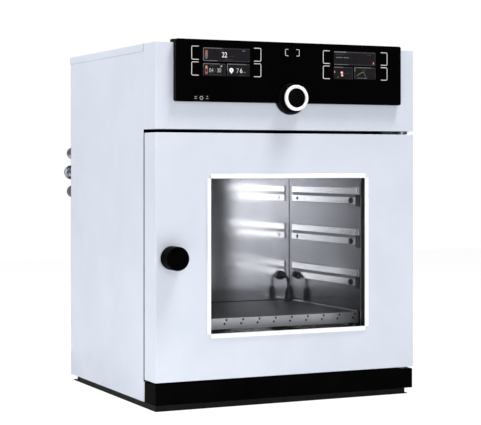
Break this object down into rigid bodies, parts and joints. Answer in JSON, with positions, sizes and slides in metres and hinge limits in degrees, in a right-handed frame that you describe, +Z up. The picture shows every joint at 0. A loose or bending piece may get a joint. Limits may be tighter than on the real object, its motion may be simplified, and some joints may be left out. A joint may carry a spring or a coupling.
{
  "type": "vacuum oven",
  "caption": "Benchtop vacuum oven with a windowed front door on side hinges, a sprung inner pane, a heated plug-in shelf, a control header with a dial and rear gas and vacuum ports.",
  "frame": {"origin": "centre of the bounding box in plan, on the floor under the base rails", "axes": "+Z up; the door and control panel face -Y; +X to the right seen from the front, where the hinges are"},
  "size_m": [0.5522, 0.575, 0.6824],
  "materials": {
    "casing_sheet": "fine embossed pattern, satin",
    "black_sheet": "black powder coat, matt",
    "zinc_sheet": "galvanised",
    "rail_grey": "dark grey, matt",
    "chamber_steel": "stainless, bright ground",
    "rib_steel": "mill finish",
    "mineral_wool": "pressed wool",
    "seal_rubber": "silicone, satin",
    "stop_black": "moulded, matt",
    "screw_black": "blackened",
    "fitting_steel": "turned stainless",
    "fitting_alu": "machined",
    "coil_black": "moulded coil cover",
    "sinter_bronze": "sintered",
    "screw_zinc": "zinc plated",
    "inlet_black": "moulded, matt",
    "board_green": "solder mask",
    "hinge_steel": "satin",
    "pin_chrome": "ground",
    "panel_black": "moulded, satin",
    "panel_face": "black-backed touch glass, gloss",
    "display_face": "dark screen with light figures",
    "knob_black": "moulded, satin",
    "ring_white": "moulded, gloss",
    "key_black": "moulded, gloss",
    "liner_dark": "dark, matt",
    "trim_bright": "polished",
    "pane_glass": "clear",
    "bush_steel": "turned",
    "shelf_alu": "dark anodised",
    "plug_dark": "moulded with metal rings",
    "lead_rubber": "sheathed"
  },
  "bodies": {
    "casing": {"base_rails": "rail_grey", "base_plate": "zinc_sheet", "front_plinth": "black_sheet", "support_beams": "zinc_sheet", "left_side_panel": "casing_sheet", "right_side_panel": "casing_sheet", "roof_panel": "casing_sheet", "rear_panel": "casing_sheet", "header_shell": "casing_sheet", "front_frame": "black_sheet", "electronics_tray": "zinc_sheet", "chamber_vessel": "chamber_steel", "vessel_ribs": "rib_steel", "insulation_jacket": "mineral_wool", "insulation_back": "mineral_wool", "door_gasket": "seal_rubber", "shelf_rails": "chamber_steel", "rail_stops": "stop_black", "rail_screws": "screw_black", "shelf_socket": "fitting_steel", "chamber_pipe": "fitting_steel", "valve_manifold": "fitting_alu", "solenoid_valves": "coil_black", "pressure_sensor": "fitting_steel", "vacuum_flange": "fitting_steel", "gas_nozzle": "fitting_steel", "air_silencer": "sinter_bronze", "bulkhead_nuts": "screw_zinc", "mains_inlet": "inlet_black", "power_board": "board_green", "control_board": "board_green", "casing_screws": "screw_zinc", "hinge_plates": "hinge_steel", "hinge_pins": "pin_chrome", "latch_keeper": "hinge_steel", "panel_housing": "panel_black", "panel_glass": "panel_face", "displays": "display_face", "dial_collar": "panel_black", "dial_encoder": "fitting_alu"},
    "door": {"door_shell": "casing_sheet", "door_back_frame": "casing_sheet", "door_insulation": "mineral_wool", "window_liner": "liner_dark", "window_trim": "trim_bright", "outer_pane": "pane_glass", "door_bushes": "bush_steel", "pane_springs": "screw_zinc"},
    "pane": {"inner_pane": "pane_glass", "pane_clamps": "screw_zinc", "pane_guides": "screw_zinc"},
    "latch": {"door_knob": "knob_black", "latch_spindle": "hinge_steel"},
    "dial": {"dial_grip": "knob_black", "dial_ring": "ring_white"},
    "confirm_key": {"confirm_key": "key_black"},
    "power_key": {"power_key": "key_black"},
    "shelf": {"heated_shelf": "shelf_alu", "shelf_plug": "plug_dark", "shelf_lead": "lead_rubber"}
  },
  "joints": [
    {"name": "door_hinge", "type": "hinge", "parent": "casing", "child": "door", "pos_m": [0.26, -0.2285, 0.2845], "axis": [0, 0, 1], "range_deg": [0, 165]},
    {"name": "pane_float", "type": "slide", "parent": "door", "child": "pane", "axis": [0, -1, 0], "range_m": [0, 0.003], "stiffness_N_per_m": 4000, "springref_m": -0.002, "deforming": ["pane_springs"]},
    {"name": "knob_turn", "type": "hinge", "parent": "door", "child": "latch", "pos_m": [-0.2437, -0.2505, 0.2805], "axis": [0, -1, 0], "range_deg": [0, 90]},
    {"name": "dial_turn", "type": "hinge", "parent": "casing", "child": "dial", "pos_m": [0, -0.2705, 0.577], "axis": [0, -1, 0], "continuous": true},
    {"name": "confirm_press", "type": "slide", "parent": "dial", "child": "confirm_key", "axis": [0, 1, 0], "range_m": [0, 0.0012], "stiffness_N_per_m": 1200, "springref_m": -0.0005},
    {"name": "power_press", "type": "slide", "parent": "casing", "child": "power_key", "axis": [0, 1, 0], "range_m": [0, 0.0012], "stiffness_N_per_m": 1200, "springref_m": -0.0005},
    {"name": "shelf_slide", "type": "slide", "parent": "casing", "child": "shelf", "axis": [0, -1, 0], "range_m": [0, 0.013], "deforming": ["shelf_lead"]}
  ]
}
